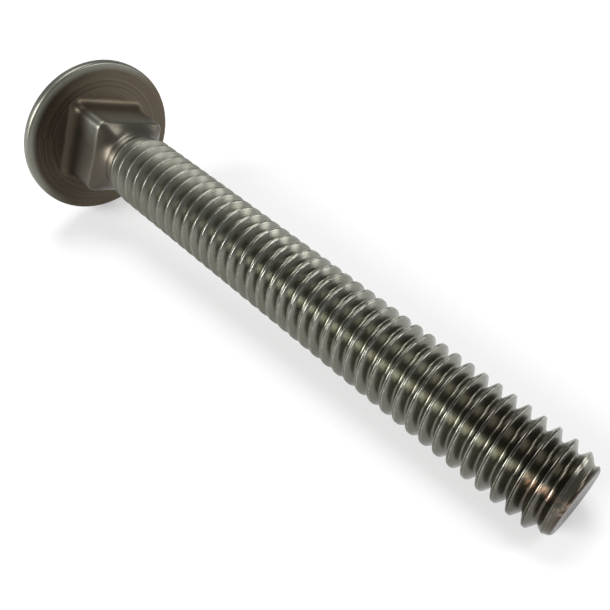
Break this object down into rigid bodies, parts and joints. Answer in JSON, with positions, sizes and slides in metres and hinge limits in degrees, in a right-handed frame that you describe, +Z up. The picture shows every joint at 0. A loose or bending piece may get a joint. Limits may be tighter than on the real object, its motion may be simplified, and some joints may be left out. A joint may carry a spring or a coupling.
{
  "type": "carriage bolt",
  "caption": "Round-head, square-neck carriage bolt in stainless steel, threaded from the tip up to the neck, lying on its side.",
  "frame": {"origin": "on the surface the bolt lies on, under the middle of its box", "axes": "+X along the bolt from head to tip in plan, +Z up; the shank falls 4.6 degrees towards the tip, as the bolt rests on its head's rim and its tip"},
  "size_m": [0.0678, 0.0178, 0.0177],
  "materials": {
    "stainless_steel": "rolled and turned stainless steel, slightly tarnished"
  },
  "bodies": {
    "root": {"carriage_bolt": "stainless_steel"}
  },
  "joints": []
}
